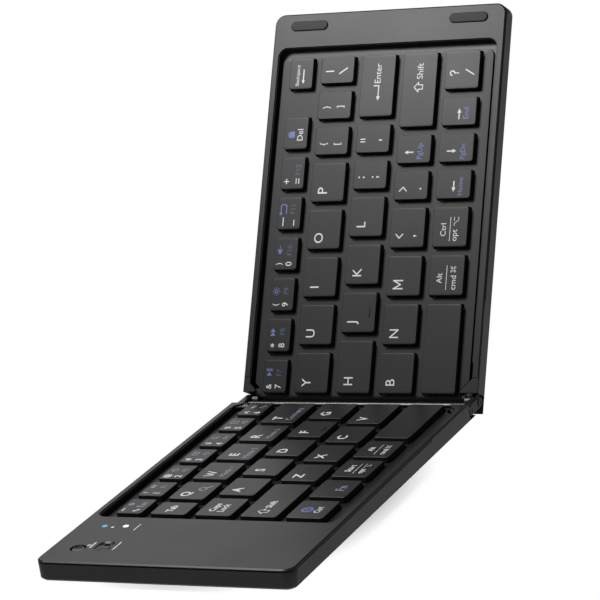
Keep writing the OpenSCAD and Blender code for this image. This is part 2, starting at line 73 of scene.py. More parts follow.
class Graph:
    # The nodes of one material, or of the world, and the shader that they feed.
    def __init__(self, owner, shader, end, place):
        owner.use_nodes = True
        self.owner = owner
        self.tree = owner.node_tree
        self.tree.nodes.clear()
        self.shader = self.node(shader)
        self.tree.links.new(self.shader.outputs[0], self.node(end).inputs["Surface"])
        self.place = Wire(self, self.node("ShaderNodeTexCoord").outputs[place])

    def feed(self, target, value):
        if isinstance(value, Wire):
            self.tree.links.new(value.socket, target)
        elif target.type == "RGBA" and len(value) == 3:
            target.default_value = (*value, 1)
        else:
            target.default_value = value

    def node(self, kind, values=None, **settings):
        made = self.tree.nodes.new(kind)
        for key, value in settings.items():
            setattr(made, key, value)
        for key, value in (values or {}).items():
            self.feed(made.inputs[key], value)
        return made

    def set(self, **values):
        for key, value in values.items():
            self.feed(self.shader.inputs[key.replace("_", " ")], value)

    def vector(self, operation, first, second=(0, 0, 0), output="Vector"):
        made = self.node("ShaderNodeVectorMath", {0: first, 1: second}, operation=operation)
        return Wire(self, made.outputs[output])

    def noise(self, size, detail=2.0, along=None):
        # Cloudy values from 0 to 1. The size of a spot is in millimetres.
        place = self.vector("MULTIPLY", self.place, along) if along else self.place
        made = self.node("ShaderNodeTexNoise", {"Vector": place, "Scale": 1000 / size, "Detail": detail})
        return Wire(self, made.outputs[0])

    def mix(self, factor, first, second):
        made = self.node("ShaderNodeMix", {0: factor, 6: first, 7: second}, data_type="RGBA")
        return Wire(self, made.outputs[2])

    def ramp(self, value, start, end, low, high):
        made = self.node("ShaderNodeMapRange", {0: value, 1: start, 2: end, 3: low, 4: high})
        return Wire(self, made.outputs[0])

    def bump(self, height, depth):
        made = self.node("ShaderNodeBump", {"Height": height, "Strength": 1.0, "Distance": depth * 0.001})
        return Wire(self, made.outputs[0])

    def axis(self, index):
        return Wire(self, self.node("ShaderNodeSeparateXYZ", {0: self.place}).outputs[index])


def newGraph(name):
    material = bpy.data.materials.new(name)
    return Graph(material, "ShaderNodeBsdfPrincipled", "ShaderNodeOutputMaterial", "Object")


def shade(colour, factor):
    return tuple(min(1.0, part * factor) for part in colour)


# Spots, streaks, grain and depths are in millimetres. Dark and light are shares of the colour, and spread
# is how much the roughness varies.
def plastic(name, colour, rough, shine=0.3, grain=0.006, grainSize=0.35, cloudSize=25.0, dark=0.9, light=1.12,
            spread=0.1):
    graph = newGraph(name)
    cloud = graph.noise(cloudSize, detail=3.0)
    graph.set(
        Base_Color=graph.mix(cloud, shade(colour, dark), shade(colour, light)),
        Roughness=rough - spread / 2 + cloud * spread,
        Normal=graph.bump(graph.noise(grainSize), grain),
        Specular_IOR_Level=shine,
    )
    return graph.owner


def metal(name, colour, rough, along=(1, 1, 1), streakSize=0.6, dark=0.82, light=1.1, low=0.06, spread=0.14,
          depth=0.006):
    # The streaks run across the axis with the largest part of along.
    graph = newGraph(name)
    streak = graph.noise(streakSize, detail=3.0, along=along)
    graph.set(
        Base_Color=graph.mix(streak, shade(colour, dark), shade(colour, light)),
        Roughness=rough - low + streak * spread,
        Normal=graph.bump(streak, depth),
        Metallic=1.0,
    )
    return graph.owner


def ink(name, colour, rough=0.42, wornSize=1.5, dark=0.88, spread=0.1):
    graph = newGraph(name)
    worn = graph.noise(wornSize)
    graph.set(Base_Color=graph.mix(worn, shade(colour, dark), colour), Roughness=rough + worn * spread)
    return graph.owner


def lampMaterial(name, nearColour, farColour, border, rough=0.25, spotSize=1.0, spread=0.1, power=0.7):
    # The lamp near the number row's edge has a colour of its own. The border is in metres.
    graph = newGraph(name)
    glow = graph.mix(graph.axis(1) > border, farColour, nearColour)
    graph.set(
        Base_Color=glow,
        Roughness=rough + graph.noise(spotSize) * spread,
        Emission_Color=glow,
        Emission_Strength=power,
    )
    return graph.owner


def boardMaterial(name, maskColour, partColour, rough=0.35, partSize=4.0, limit=0.58, spread=0.2, depth=0.05):
    # The parts are where the spots pass the limit.
    graph = newGraph(name)
    parts = graph.noise(partSize, detail=0.0) > limit
    graph.set(
        Base_Color=graph.mix(parts, maskColour, partColour),
        Roughness=rough + parts * spread,
        Normal=graph.bump(parts, depth),
    )
    return graph.owner


plastics = {
    "shellPlastic": {"colour": (0.009, 0.009, 0.0092), "rough": 0.4},
    # The bottom covers are a lighter copy of the shell plastic: painted light that stands in for the light
    # falling on their side walls.
    "coverPlasticPaintedLight": {"colour": (0.019, 0.019, 0.0193), "rough": 0.4, "shine": 0.36},
    "deckPlastic": {"colour": (0.008, 0.008, 0.0082), "rough": 0.42},
    "capPlastic": {"colour": (0.009, 0.009, 0.0092), "rough": 0.4},
    "rubber": {"colour": (0.012, 0.012, 0.012), "rough": 0.6, "grain": 0.02},
    "controlPlastic": {"colour": (0.01, 0.01, 0.0102), "rough": 0.3, "grain": 0.004},
    "scissorPlastic": {"colour": (0.02, 0.02, 0.02), "rough": 0.5},
    "domeRubber": {"colour": (0.7, 0.7, 0.68), "rough": 0.6},
    "switchPlastic": {"colour": (0.05, 0.05, 0.055), "rough": 0.5},
    # The switch sheet is near-black: painted shade, so that the trench between the deck and the frame reads
    # dark where the sheet shows through.
    "sheetFilmPaintedShade": {"colour": (0.014, 0.014, 0.015), "rough": 0.5},
}
metals = {
    "foil": {"colour": (0.5, 0.52, 0.55), "rough": 0.4},
    "rolledPlate": {"colour": (0.62, 0.63, 0.64), "rough": 0.35, "along": (1, 12, 1)},
    "pinSteel": {"colour": (0.6, 0.6, 0.61), "rough": 0.25, "along": (1, 8, 1)},
    "linkSteel": {"colour": (0.035, 0.035, 0.036), "rough": 0.4, "along": (8, 1, 1)},
    "darkSteel": {"colour": (0.05, 0.05, 0.052), "rough": 0.45, "along": (1, 12, 1)},
    "barSteel": {"colour": (0.06, 0.06, 0.062), "rough": 0.35, "along": (1, 8, 1)},
    "washerBrass": {"colour": (0.72, 0.56, 0.28), "rough": 0.3},
}
inks = {
    "whiteInk": (0.58, 0.58, 0.58),
    "blueInk": (0.09, 0.12, 0.33),
    "dimInk": (0.043, 0.048, 0.11),
    "paleInk": (0.24, 0.25, 0.36),
}
white, blue, dim, pale = range(len(inks))  # the inks' slots in every print
look = {name: plastic(name, **values) for name, values in plastics.items()}
look.update({name: metal(name, **values) for name, values in metals.items()})
look.update({name: ink(name, colour) for name, colour in inks.items()})
look["lampLight"] = lampMaterial("lampLight", nearColour=(0.02, 0.2, 0.36), farColour=(1, 1, 1),
                                 border=0.0325)
look["boardMask"] = boardMaterial("boardMask", maskColour=(0.02, 0.12, 0.05), partColour=(0.35, 0.3, 0.16))
print("stage: materials made")

# All lengths below are in millimetres. u runs from the pin in the reading direction, y towards the number
# row, and n out of the face. The base lies at negative u and the lid at positive u. Loops are drawn with
# their distance from the pin, and facing() turns them to their half.
body = {"width": 94.6, "thick": 7.2, "corner": 4.0}
# Of each half: its far end, the length of its end strip and of its key field, how far the deck goes past
# that field, and how bold its white words are.
halves = {
    "base": {"sign": -1, "end": 149.6, "strip": 38.2, "field": 104.9, "margin": 1.5, "bold": 0.024},
    "lid": {"sign": 1, "end": 147.6, "strip": 13.4, "field": 127.7, "margin": 1.0, "bold": 0.002},
}
lidTurn = math.radians(jointList["lid_hinge"]["range_deg"][0])
halfWidth = body["width"] / 2
faceN = body["thick"] / 2
scale = Matrix.Scale(0.001, 4)
for half, turn in {"base": 0.0, "lid": lidTurn}.items():
    pin = Vector(jointList[half + "_hinge"]["pos_m"])
    halves[half]["place"] = Matrix.Translation(pin) @ Matrix.Rotation(turn, 4, "Y") @ scale


def arc(cx, cy, radius, start, end, steps):
    out = []
    for i in range(steps + 1):
        turn = math.radians(start + (end - start) * i / steps)
        out.append((cx + radius * math.cos(turn), cy + radius * math.sin(turn)))
    return out


def circle(cx, cy, radius, steps=32):
    return arc(cx, cy, radius, 0, 360 - 360 / steps, steps - 1)


def roundRect(cx, cy, width, height, radius, steps=4):
    x = width / 2 - radius
    y = height / 2 - radius
    return (
        arc(cx + x, cy + y, radius, 0, 90, steps)
        + arc(cx - x, cy + y, radius, 90, 180, steps)
        + arc(cx - x, cy - y, radius, 180, 270, steps)
        + arc(cx + x, cy - y, radius, 270, 360, steps)
    )


def endPath(start, end, side, radius, steps=6):
    # An open line round the far end of a half. Its long sides lie at -side and side.
    low = arc(end - radius, radius - side, radius, -90, 0, steps)
    high = arc(end - radius, side - radius, radius, 0, 90, steps)
    return [(start, -side)] + low + high + [(start, side)]


def facing(loop, half):
    return [(halves[half]["sign"] * distance, y) for distance, y in loop]


def roundRings(x, y, rows, steps=32):
    # Rows of radius and depth below the face, from below.
    return [(circle(x, y, radius, steps), faceN - depth) for radius, depth in rows]


def boxRings(x, y, rows, steps=4, top=faceN):
    # Rows of length, width, corner radius and depth below the top, from below.
    return [(roundRect(x, y, length, width, corner, steps), top - depth)
            for length, width, corner, depth in rows]


def softTop(high, edge, steps=3):
    # Pairs of inset and height that round an upper edge.
    turns = [math.pi / 2 * i / steps for i in range(steps + 1)]
    return [(edge * (1 - math.cos(turn)), high - edge * (1 - math.sin(turn))) for turn in turns]


def skin(bm, outline, holes=()):
    # The outline and each hole are lists of (loop, height), and the loops of one list have equally many
    # points. The first loop is extruded onto the next ones in turn, and flat faces close both ends.
    firstEnd = []
    lastEnd = []
    for shape in [outline, *holes]:
        loop, height = shape[0]
        verts = [bm.verts.new((x, y, height)) for x, y in loop]
        ring = [bm.edges.new((verts[i - 1], verts[i])) for i in range(len(verts))]
        firstEnd += ring
        for loop, height in shape[1:]:
            made = bmesh.ops.extrude_edge_only(bm, edges=ring)["geom"]
            ring = [item for item in made if isinstance(item, bmesh.types.BMEdge)]
            verts = [item for item in made if isinstance(item, bmesh.types.BMVert)]
            for vert, (x, y) in zip(verts, loop):
                vert.co = (x, y, height)
        lastEnd += ring
    for edges in (firstEnd, lastEnd):
        bmesh.ops.triangle_fill(bm, use_beauty=True, use_dissolve=False, edges=edges)


def solid(bm, half, rings):
    skin(bm, [(facing(loop, half), height) for loop, height in rings])


def newPiece(name, bm, place, rides, materials):
    mesh = bpy.data.meshes.new(name)
    bm.to_mesh(mesh)
    bm.free()
    mesh.transform(place)
    for material in materials:
        mesh.materials.append(look[material])
    made = bpy.data.objects.new(name, mesh)
    bpy.context.collection.objects.link(made)
    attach(made, rides)
    return made


def solidPiece(name, bm, place, rides, material, node, sharp=35):
    bmesh.ops.recalc_face_normals(bm, faces=bm.faces[:])
    made = newPiece(name, bm, place, rides, [material])
    made.data.shade_smooth()
    made.data.set_sharp_from_angle(angle=math.radians(sharp))
    made.modifiers.new("even", "WEIGHTED_NORMAL").keep_sharp = True
    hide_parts(node)


def camelName(name):
    parts = name.split("_")
    return parts[0] + "".join(part.capitalize() for part in parts[1:])


keys = {
    "start": 2.4,  # from the pin to the first keys
    "letterPitch": 18.0,
    "markPitch": 13.75,
    "rowPitch": 17.0,
    "gap": 3.05,
    "depth": 13.75,
    "numberDepth": 9.75,
    "numberY": 34.575,  # middle of the number row
    "letterY": 19.525,  # middle of the row next to it
    "numberCount": 7,
    "space": 32.95,
    "backspace": 11.9,
    "drop": 0.4,  # from the face down to the tops of the caps
    "thick": 2.4,
    "foot": 0.5,  # upright part of a cap's sides
    "corner": 0.9,
    "edge": 0.2,
    "draft": 0.06,  # how far a cap's sides lean in
    "homeBar": [(3.6, 0.6, 0.28, 0.05), (3.6, 0.6, 0.28, -0.12), (3.4, 0.4, 0.18, -0.22)],
    "homeBarIn": 2.6,  # from the key's front edge to the middle of its bar
}
capTop = faceN - keys["drop"]


def keySpots(half):
    # The keys as (body, row, distance from the pin, length), row by row from the pin outwards.
    letter = keys["letterPitch"] - keys["gap"]
    mark = keys["markPitch"] - keys["gap"]
    wide = letter + keys["letterPitch"] / 4
    count = keys["numberCount"]
    number = (halves["base"]["field"] + keys["gap"]) / count - keys["gap"]
    field = halves[half]["field"]
    out = []

    def run(row, names, lengths):
        # A length of 0 fills the rest of the row.
        at = 0.0
        for name, length in zip(names, lengths):
            length = length or field - at
            out.append((half + name, row, keys["start"] + at, length))
            at += length + keys["gap"]

    run(0, ["_keys_numbers"] * count, [number] * count)
    if half == "base":
        run(1, ["_keys_letters_top"] * 5 + ["_key_tab"], [wide] + [letter] * 4 + [0])
        run(2, ["_keys_letters_home"] * 5 + ["_key_caps_lock"], [letter] * 5 + [0])
        run(3, ["_keys_letters_low"] * 4 + ["_key_shift"], [wide] + [letter] * 3 + [0])
        run(4, ["_key_space"] + ["_keys_control"] * 4, [keys["space"]] + [letter] * 4)
    else:
        out.append(("lid_key_backspace", 0, keys["start"] + field - keys["backspace"], keys["backspace"]))
        run(1, ["_keys_letters_top"] * 5 + ["_keys_brackets"] * 3, [letter] * 5 + [mark] * 2 + [0])
        run(2, ["_keys_letters_home"] * 4 + ["_keys_quotes"] * 2 + ["_key_enter"],
            [wide] + [letter] * 3 + [mark] * 2 + [0])
        run(3, ["_keys_letters_low"] * 4 + ["_keys_stop_up"] * 2 + ["_key_shift"],
            [letter] * 4 + [mark] * 2 + [0])
        run(4, ["_key_space"] + ["_keys_alt"] * 2 + ["_keys_arrows"] * 3 + ["_key_slash"],
            [keys["space"]] + [letter] * 2 + [mark] * 3 + [0])
    return out


def rowPlace(row):
    # The middle of a row and the depth of its keys.
    if row == 0:
        return keys["numberY"], keys["numberDepth"]
    return keys["letterY"] - (row - 1) * keys["rowPitch"], keys["depth"]


def capRings(x, y, length, depth):
    foot = capTop - keys["thick"] + keys["foot"]
    insets = [(0.0, capTop - keys["thick"]), (0.0, foot)]
    for inset, height in softTop(capTop, keys["edge"]):
        insets.append((inset + keys["draft"] * (height - foot) / (capTop - foot), height))
    return [(roundRect(x, y, length - 2 * inset, depth - 2 * inset, keys["corner"] - inset / 2), height)
            for inset, height in insets]


def keyCaps(half):
    groups = {}
    for name, row, at, length in keySpots(half):
        groups.setdefault(name, []).append((row, at + length / 2, length))
    for name, spots in groups.items():
        bm = bmesh.new()
        for index, (row, x, length) in enumerate(spots):
            y, depth = rowPlace(row)
            solid(bm, half, capRings(x, y, length, depth))
            if name.endswith("letters_home") and index == 1:  # the bar for the finger's place
                solid(bm, half, boxRings(x, y - depth / 2 + keys["homeBarIn"], keys["homeBar"], top=capTop))
        solidPiece(camelName(name), bm, halves[half]["place"], name, "capPlastic", name)


deck = {
    "drop": 2.5,  # from the face down to the deck
    "thick": 0.8,
    "start": 1.2,
    "back": 43.7,  # the edge by the number row
    "front": 42.7,
    "corner": 2.5,
    "backCut": 2.2,  # the cut corners at the hinge
    "frontCut": 3.2,
    "cutFrom": 4.3,
    "keyFit": 0.35,  # gap between a key and its hole
    "holeCorner": 1.0,
    "profile": [(0.0, 0.8), (0.0, 0.25), (0.08, 0.08), (0.25, 0.0)],  # inset and depth, from below
}
deckTop = faceN - deck["drop"]


def deckLoop(half, inset):
    radius = deck["corner"]
    end = keys["start"] + halves[half]["field"] + halves[half]["margin"]
    start = deck["start"] + inset
    cutFrom = deck["cutFrom"]
    front = inset - deck["front"]
    back = deck["back"] - inset
    frontCut = deck["frontCut"]
    backCut = deck["backCut"]
    return (
        [(start, front + frontCut), (cutFrom, front + frontCut), (cutFrom + frontCut, front)]
        + arc(end - radius, radius - deck["front"], radius - inset, -90, 0, 6)
        + arc(end - radius, deck["back"] - radius, radius - inset, 0, 90, 6)
        + [(cutFrom + backCut, back), (cutFrom, back - backCut), (start, back - backCut)]
    )


def deckPlate(half):
    low = deckTop - deck["thick"]
    holes = []
    for name, row, at, length in keySpots(half):
        y, depth = rowPlace(row)
        fit = 2 * deck["keyFit"]
        hole = facing(roundRect(at + length / 2, y, length + fit, depth + fit, deck["holeCorner"], 3), half)
        holes.append([(hole, low), (hole, deckTop)])
    rings = [(facing(deckLoop(half, inset), half), deckTop - depth) for inset, depth in deck["profile"]]
    bm = bmesh.new()
    skin(bm, rings, holes)
    solidPiece(half + "Deck", bm, halves[half]["place"], half, "deckPlastic", half + "_key_plate")


# Rows of radius, or of length, width and corner radius, and of depth below the face, all from below.
button = {
    "place": (138.1, 36.7),
    "hole": [(2.65, 1.0), (2.65, 0.15), (2.8, 0.0)],
    "cap": [(2.75, 2.3), (2.75, 1.6), (2.15, 1.6), (2.15, 0.42), (2.05, 0.3), (1.65, 0.3), (1.25, 0.45),
            (0.3, 0.5)],
}
slide = {
    "place": (135.9, 27.9),
    "knobShift": 1.5,
    "hole": [(5.4, 2.2, 0.2, 1.0), (5.4, 2.2, 0.2, 0.5), (6.6, 4.4, 1.8, 0.5), (7.8, 5.6, 2.2, 0.1),
             (8.0, 5.8, 2.3, 0.0)],
    "knob": [(4.0, 4.6, 0.6, 0.45), (4.0, 4.6, 0.6, 0.25), (3.7, 4.3, 0.5, 0.1)],
    "rib": [(0.5, 3.6, 0.1, 0.15), (0.3, 3.4, 0.1, 0.0)],
    "ribPitch": 1.0,
    "stem": [(1.8, 1.6, 0.1, 2.2), (1.8, 1.6, 0.1, 0.4)],
}
lamps = {"places": [(119.6, 36.7), (119.1, 28.9)], "hole": [(1.0, 1.0), (1.0, 0.0)], "steps": 20}
topFrame = {
    "plate": 1.0,  # thickness of the frame
    "rim": 2.7,  # width of its long sides
    "openingCorner": 3.5,
    "sideGrow": 0.3,  # the opening's sides grow no more than this
    "start": 8.3,
    "seamFrom": 35.7,
    "seamSlant": 0.5,
    "sideSeam": 0.4,  # share of the seam's depth at the long sides
    "sharp": 30,  # edges above this angle stay sharp
    # Inset of the outside, growth of the opening, depth of the seam and depth below the face, from below.
    "profile": [
        (0.0, -0.2, 0.5, 1.0),
        (0.0, -0.05, 0.5, 0.5),
        (0.0, -0.05, 0.02, 0.5),
        (0.0, 0.1, 0.02, 0.45),
        (0.03, 0.2, 0.02, 0.405),
        (0.53, 0.35, 0.02, 0.0),
    ],
}
hingePad = {
    "start": 2.6,
    "lap": 0.1,  # over the frame
    "gap": 0.8,  # beside the deck
    "cutFrom": 3.6,
    "profile": [(0.1, 1.0), (0.0, 0.9), (0.0, 0.42), (0.2, 0.22)],  # inset and depth below the face
}
skirt = {"start": 15.5, "wall": 0.7, "corner": 3.3, "inward": 0.2, "lap": 0.01}
plateN = faceN - topFrame["plate"]
rimIn = halfWidth - topFrame["rim"]


def frameLoop(half, inset, grow, seam):
    # The outside and the opening of the top frame are one line, because the frame is open at the hinge.
    end = halves[half]["end"]
    start = topFrame["start"]
    seamFrom = topFrame["seamFrom"]
    sunk = inset + seam
    side = halfWidth - inset
    outside = endPath(seamFrom + topFrame["seamSlant"], end - sunk, side - seam * topFrame["sideSeam"],
                      body["corner"] - sunk)
    opening = endPath(start, end - halves[half]["strip"] + grow, rimIn + min(grow, topFrame["sideGrow"]),
                      topFrame["openingCorner"] + grow)
    return [(start, -side), (seamFrom, -side)] + outside + [(seamFrom, side), (start, side)] + opening[::-1]


def controlHoles():
    shapes = [roundRings(*button["place"], button["hole"]), boxRings(*slide["place"], slide["hole"])]
    shapes += [roundRings(*place, lamps["hole"], lamps["steps"]) for place in lamps["places"]]
    return [[(facing(loop, "base"), height) for loop, height in rings] for rings in shapes]


def padLoop(side, pad, inset):
    # The corner of the top frame beside a hinge, a little below the face. The side is 1 or -1.
    start = hingePad["start"] + inset
    end = topFrame["start"] + hingePad["lap"]
    cutFrom = hingePad["cutFrom"]
    points = [(start, pad + inset), (cutFrom, pad + inset), (cutFrom + rimIn - pad, rimIn + inset),
              (end, rimIn + inset), (end, halfWidth - inset), (start, halfWidth - inset)]
    return [(x, side * y) for x, y in points]


def skirtRings(half):
    # The wall between the top frame and the deck.
    inner = halves[half]["end"] - halves[half]["strip"]
    wall = skirt["wall"]
    outside = endPath(skirt["start"], inner + wall, rimIn + wall, topFrame["openingCorner"] + wall)
    inside = endPath(skirt["start"], inner - skirt["inward"], rimIn, skirt["corner"])
    loop = outside + inside[::-1]
    return [(loop, deckTop - deck["thick"]), (loop, plateN + skirt["lap"])]


def topShell(half):
    bm = bmesh.new()
    frameRings = [(facing(frameLoop(half, inset, grow, seam), half), faceN - depth)
                  for inset, grow, seam, depth in topFrame["profile"]]
    skin(bm, frameRings, controlHoles() if half == "base" else [])
    for side, edge in [(1, deck["back"] - deck["backCut"]), (-1, deck["front"] - deck["frontCut"])]:
        pad = edge + hingePad["gap"]
        solid(bm, half, [(padLoop(side, pad, inset), faceN - depth) for inset, depth in hingePad["profile"]])
    solid(bm, half, skirtRings(half))
    solidPiece(half + "TopShell", bm, halves[half]["place"], half, "shellPlastic", half + "_top_frame",
               topFrame["sharp"])


for half in halves:
    topShell(half)
    deckPlate(half)
    keyCaps(half)
print("stage: shells, decks and keys built")

bumper = {
    "place": (142.7, 32.6),
    "width": 3.7,
    "length": 15.3,
    "corner": 1.8,
    "rise": 0.55,  # above the face
    "sink": 0.4,  # below the face
    "edge": 0.35,
}


def bumpers():
    bm = bmesh.new()
    x, y = bumper["place"]
    for side in (-1, 1):
        rings = []
        for inset, height in softTop(faceN + bumper["rise"], bumper["edge"]):
            rings.append((roundRect(x, side * y, bumper["width"] - 2 * inset, bumper["length"] - 2 * inset,
                                    bumper["corner"] - inset, 8), height))
        solid(bm, "lid", [(rings[0][0], faceN - bumper["sink"])] + rings)
    solidPiece("lidBumpers", bm, halves["lid"]["place"], "lid", "rubber", "lid_bumpers")


def pairButton():
    bm = bmesh.new()
    solid(bm, "base", roundRings(*button["place"], button["cap"]))
    solidPiece("pairButton", bm, halves["base"]["place"], "pair_button", "controlPlastic", "pair_button")


def powerSlide():
    bm = bmesh.new()
    x, y = slide["place"]
    x += slide["knobShift"]
    solid(bm, "base", boxRings(x, y, slide["knob"]))
    for i in (-1, 0, 1):
        solid(bm, "base", boxRings(x + i * slide["ribPitch"], y, slide["rib"], 2))
    solid(bm, "base", boxRings(x, y, slide["stem"], 2))
    solidPiece("powerSlide", bm, halves["base"]["place"], "power_slide", "controlPlastic", "power_slide")


bumpers()
pairButton()
powerSlide()
print("stage: bumpers and controls built")


def textOutline(text, weight):
    # Flat outlines of the text at the font's own size, centred on their middle, as (points, faces).
    curve = bpy.data.curves.new("text", "FONT")
    curve.body = text
    curve.resolution_u = 3
    curve.offset = weight
    holder = bpy.data.objects.new("text", curve)
    bpy.context.collection.objects.link(holder)
    mesh = holder.to_mesh()
    points = [(v.co.x, v.co.y) for v in mesh.vertices]
    faces = [tuple(face.vertices) for face in mesh.polygons]
    bpy.data.objects.remove(holder)
    bpy.data.curves.remove(curve)
    middle = [(min(values) + max(values)) / 2 for values in zip(*points)]
    return [(x - middle[0], y - middle[1]) for x, y in points], faces


def ribbon(points, width, closed=False):
    # Quads of the given width along a line.
    out = []
    for i in range(len(points) if closed else len(points) - 1):
        a = Vector(points[i])
        b = Vector(points[(i + 1) % len(points)])
        along = (b - a).normalized() * (width / 2)
        side = Vector((-along.y, along.x))
        out.append([a - along + side, a - along - side, b + along - side, b + along + side])
    return out


def strokes(width, *paths):
    return [quad for path in paths for quad in ribbon(path, width)]


def arrow(length, width, head):
    tip = length / 2
    neck = tip - head
    return ribbon([(-tip, 0), (neck, 0)], width) + [[(neck, head / 2), (neck, -head / 2), (tip, 0)]]


def turned(shapes, degrees):
    c = math.cos(math.radians(degrees))
    s = math.sin(math.radians(degrees))
    return [[(x * c - y * s, x * s + y * c) for x, y in shape] for shape in shapes]


def frameBox(width, height, corner, line):
    return ribbon(roundRect(0, 0, width, height, corner, 1), line, True)


def speaker(x):
    return [[(x, 0.3), (x, -0.3), (x + 0.5, -0.3), (x + 1.0, -0.8), (x + 1.0, 0.8), (x + 0.5, 0.3)]]


# Signs that the font lacks or draws too thin, and the icons. A legend's height scales them.
icons = {
    "M": strokes(0.5, [(-1.5, -1.8), (-1.5, 1.7), (0, -1.0), (1.5, 1.7), (1.5, -1.8)]),
    "W": strokes(0.5, [(-2.0, 1.75), (-1.0, -1.6), (0, 1.4), (1.0, -1.6), (2.0, 1.75)]),
    "<": strokes(0.42, [(0.7, 1.35), (-0.7, 0), (0.7, -1.35)]),
    ">": strokes(0.42, [(-0.7, 1.35), (0.7, 0), (-0.7, -1.35)]),
    "\"": strokes(0.4, [(-0.5, 0.85), (-0.5, -0.7)], [(0.5, 0.85), (0.5, -0.7)]),
    "?": strokes(0.45, arc(0, 0.75, 0.85, 170, -60, 8) + [(0.05, -0.2), (0.0, -0.75)])
         + [circle(0, -1.5, 0.34, 10)],
    "/": strokes(0.45, [(-0.95, -1.55), (0.95, 1.55)]),
    "\\": strokes(0.5, [(-1.0, 1.5), (1.0, -1.5)]),
    "|": strokes(0.46, [(0, 1.5), (0, -1.5)]),
    "+": strokes(0.36, [(-0.85, 0), (0.85, 0)], [(0, -0.85), (0, 0.85)]),
    "=": strokes(0.36, [(-0.85, 0.55), (0.85, 0.55)], [(-0.85, -0.55), (0.85, -0.55)]),
    "_": strokes(0.36, [(-1.55, 0), (1.55, 0)]),
    "-": strokes(0.36, [(-1.0, 0), (1.0, 0)]),
    "^": strokes(0.5, [(-0.8, -0.6), (0, 0.6), (0.8, -0.6)]),
    "`": strokes(0.6, [(-0.6, 0.6), (0.6, -0.5)]),
    "*": [quad for turn in (0, 60, 120) for quad in turned(strokes(0.26, [(-0.7, 0), (0.7, 0)]), turn)],
    "up": turned(arrow(3.4, 0.5, 1.5), 90),
    "down": turned(arrow(3.5, 0.5, 1.5), -90),
    "left": turned(arrow(3.8, 0.5, 1.6), 180),
    "right": arrow(3.8, 0.5, 1.6),
    "long": turned(arrow(5.3, 0.45, 1.3), 180),
    "enter": turned(arrow(5.8, 0.4, 1.6), 180) + strokes(0.4, [(2.8, 0), (2.8, 1.9)]),
    "loop": strokes(0.3, [(-1.1, -0.9), (1.3, -0.9), (1.7, -0.4), (1.7, 0.6), (1.3, 1.0), (-0.9, 1.0)])
            + [[(-1.8, 1.0), (-0.9, 1.6), (-0.9, 0.4)]],
    "shift": ribbon([(0, 1.5), (-1.5, 0.1), (-0.7, 0.1), (-0.7, -1.3), (0.7, -1.3), (0.7, 0.1), (1.5, 0.1)],
                    0.28, True),
    "line": strokes(0.22, [(-4.4, 0), (4.4, 0)]),
    "play": [[(-0.6, 0.7), (-0.6, -0.7), (0.3, 0)]]
            + strokes(0.2, [(0.6, 0.7), (0.6, -0.7)], [(0.95, 0.7), (0.95, -0.7)]),
    "next": [[(-0.9, 0.7), (-0.9, -0.7), (0, 0)], [(0, 0.7), (0, -0.7), (0.9, 0)]],
    "back": [[(0.9, 0.7), (0.9, -0.7), (0, 0)], [(0, 0.7), (0, -0.7), (-0.9, 0)]],
    "mute": speaker(-0.9) + strokes(0.18, [(0.4, 0.4), (1.0, -0.4)], [(0.4, -0.4), (1.0, 0.4)]),
    "softer": speaker(-0.7) + strokes(0.18, [(0.6, 0), (1.1, 0)]),
    "page": frameBox(1.7, 1.7, 0.2, 0.18) + strokes(0.16, [(-0.5, 0.2), (0.5, 0.2)]),
    "find": ribbon(circle(-0.2, 0.2, 0.55, 12), 0.18, True) + strokes(0.24, [(0.3, -0.3), (0.8, -0.8)]),
    "house": strokes(0.2, [(-0.8, 0), (0, 0.8), (0.8, 0)])
             + strokes(0.18, [(-0.5, 0.1), (-0.5, -0.7), (0.5, -0.7), (0.5, 0.1)]),
    "envelope": frameBox(1.9, 1.3, 0.1, 0.16) + strokes(0.16, [(-0.8, 0.5), (0, -0.1), (0.8, 0.5)]),
    "sun": ribbon(circle(0, 0, 0.4, 10), 0.18, True)
           + [quad for i in range(8) for quad in turned(strokes(0.16, [(0.75, 0), (0.95, 0)]), 45 * i)],
    "lock": ribbon(roundRect(0, -0.3, 1.2, 1.0, 0.1, 1), 0.3, True)
            + strokes(0.2, arc(0, 0.2, 0.45, 0, 180, 6))
            + [[(-0.4, 0.0), (-0.4, -0.7), (0.4, -0.7), (0.4, 0.0)]],
    "ring": ribbon(circle(0, 0, 0.82, 16), 0.4, True)
            + strokes(0.2, [(-0.4, 0), (0.4, 0)], [(0, -0.4), (0, 0.4)]),
    "clover": frameBox(0.9, 0.9, 0.1, 0.16)
              + [quad for x, y in [(-0.7, -0.7), (-0.7, 0.7), (0.7, -0.7), (0.7, 0.7)]
                 for quad in ribbon(circle(x, y, 0.32, 8), 0.16, True)],
    "option": strokes(0.18, [(-1.3, 0.7), (-0.6, 0.7), (0.4, -0.7), (1.3, -0.7)], [(0.2, 0.7), (1.3, 0.7)]),
    "link": strokes(0.6, [(-2.0, -0.3), (-0.3, -0.3)], [(0.4, -0.3), (2.0, -0.3)])
            + ribbon(circle(-0.2, 1.0, 0.5, 12), 0.3, True),
    "dot": [circle(0, 0, 0.6, 12)],
    "dash": strokes(0.45, [(-3.0, 0), (3.0, 0)]),
}


def glyphSize(mark, size):
    # The signs above are drawn at their own size.
    return 1.0 if mark in icons else size


def numbers(pairs, upper, digit, icon, function, slots, drops):
    # Number keys: the shifted sign, the digit, an icon and a function number, each with its own place.
    out = []
    for (top, bottom, picture, name), drop in zip(pairs, drops):
        out.append([(top, upper[0], upper[1] + drop, glyphSize(top, 2.1), white),
                    (bottom, digit[0], digit[1] + drop, 2.45, white),
                    (picture, icon[0], icon[1] + drop, 1.55, slots[0]),
                    (name, function[0], function[1] + drop, 1.9, slots[1])])
    return out


def letters(text, left, top, size=3.5):
    return [[(mark, left, top, glyphSize(mark, size), white)] for mark in text]


def marks(rows, size):
    # Keys with a sign above another: both signs, their place from the left, and each one's from the top.
    return [[(sign, left, top, glyphSize(sign, size), white) for sign, top in [(upper, high), (lower, low)]]
            for upper, lower, left, high, low in rows]


